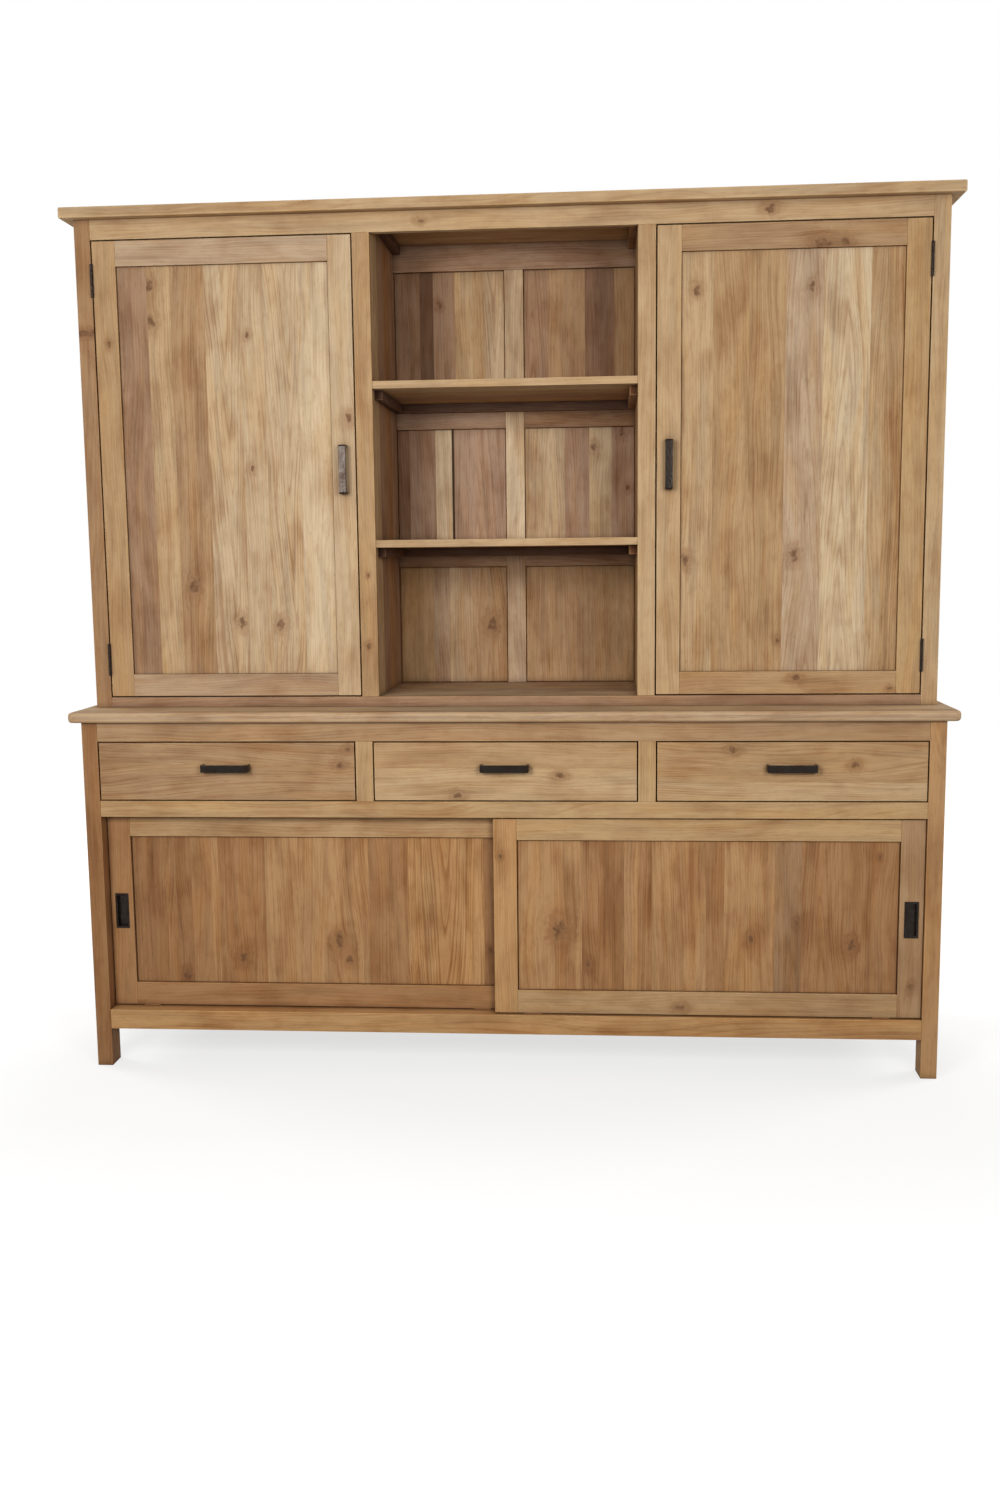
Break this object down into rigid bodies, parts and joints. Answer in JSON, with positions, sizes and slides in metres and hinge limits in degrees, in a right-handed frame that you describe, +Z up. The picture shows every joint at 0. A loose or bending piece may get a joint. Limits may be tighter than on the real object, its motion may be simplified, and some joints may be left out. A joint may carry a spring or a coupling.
{
  "type": "storage cupboard",
  "caption": "Teak cupboard with a hutch of hinged panel doors round an open shelved bay, on a base with drawers, by-pass sliding doors and black iron pulls.",
  "frame": {"origin": "on the floor, at the bottom centre of the whole object's box", "axes": "+Z up, +X to the right when facing the doors, the front faces -Y"},
  "size_m": [2.036, 0.524, 2.005],
  "materials": {
    "teak_frame": "matt natural teak, planed and sanded",
    "teak_planks": "matt natural teak planks, glued up with varied tone",
    "teak_inside": "matt natural teak, unlit inner boards",
    "black_iron": "blackened forged iron"
  },
  "bodies": {
    "cabinet": {"back_muntins": "teak_inside", "back_panels": "teak_planks", "back_rails": "teak_inside", "base_bottom_rail": "teak_frame", "base_floor": "teak_inside", "base_middle_rail": "teak_frame", "base_partition": "teak_inside", "base_shelves": "teak_inside", "base_top_rail": "teak_frame", "bay_partitions": "teak_inside", "bay_shelves": "teak_frame", "cornice": "teak_frame", "door_stops": "teak_inside", "drawer_deck": "teak_inside", "drawer_dividers": "teak_frame", "drawer_guides": "teak_inside", "front_left_leg": "teak_frame", "front_right_leg": "teak_frame", "hutch_bottom_rail": "teak_frame", "hutch_floor": "teak_inside", "hutch_front_left_post": "teak_frame", "hutch_front_right_post": "teak_frame", "hutch_left_stile": "teak_frame", "hutch_rear_posts": "teak_frame", "hutch_right_stile": "teak_frame", "hutch_top_rail": "teak_frame", "post_hinge_leaves_and_pins": "black_iron", "rear_left_leg": "teak_frame", "rear_right_leg": "teak_frame", "shelf_cleats": "teak_inside", "side_bay_shelves": "teak_inside", "side_panels": "teak_planks", "side_rails": "teak_frame", "slider_guide_fins": "black_iron", "worktop": "teak_frame"},
    "left_door": {"left_door_frame": "teak_frame", "left_door_handle": "black_iron", "left_door_hinge_leaves": "black_iron", "left_door_panel": "teak_planks"},
    "right_door": {"right_door_frame": "teak_frame", "right_door_handle": "black_iron", "right_door_hinge_leaves": "black_iron", "right_door_panel": "teak_planks"},
    "left_slider": {"left_slider_frame": "teak_frame", "left_slider_glides": "teak_frame", "left_slider_panel": "teak_planks", "left_slider_pull": "black_iron"},
    "right_slider": {"right_slider_frame": "teak_frame", "right_slider_glides": "teak_frame", "right_slider_panel": "teak_planks", "right_slider_pull": "black_iron"},
    "left_drawer": {"left_drawer_box": "teak_inside", "left_drawer_front": "teak_frame", "left_drawer_handle": "black_iron"},
    "middle_drawer": {"middle_drawer_box": "teak_inside", "middle_drawer_front": "teak_frame", "middle_drawer_handle": "black_iron"},
    "right_drawer": {"right_drawer_box": "teak_inside", "right_drawer_front": "teak_frame", "right_drawer_handle": "black_iron"}
  },
  "joints": [
    {"name": "left_door_hinge", "type": "hinge", "parent": "cabinet", "child": "left_door", "pos_m": [-0.9515, -0.1316, 1.4075], "axis": [0, 0, -1], "range_deg": [0, 165]},
    {"name": "right_door_hinge", "type": "hinge", "parent": "cabinet", "child": "right_door", "pos_m": [0.9515, -0.1316, 1.4075], "axis": [0, 0, 1], "range_deg": [0, 165]},
    {"name": "left_slider_slide", "type": "slide", "parent": "cabinet", "child": "left_slider", "axis": [1, 0, 0], "range_m": [0, 0.92]},
    {"name": "right_slider_slide", "type": "slide", "parent": "cabinet", "child": "right_slider", "axis": [-1, 0, 0], "range_m": [0, 0.92]},
    {"name": "left_drawer_slide", "type": "slide", "parent": "cabinet", "child": "left_drawer", "axis": [0, -1, 0], "range_m": [0, 0.32]},
    {"name": "middle_drawer_slide", "type": "slide", "parent": "cabinet", "child": "middle_drawer", "axis": [0, -1, 0], "range_m": [0, 0.32]},
    {"name": "right_drawer_slide", "type": "slide", "parent": "cabinet", "child": "right_drawer", "axis": [0, -1, 0], "range_m": [0, 0.32]}
  ]
}
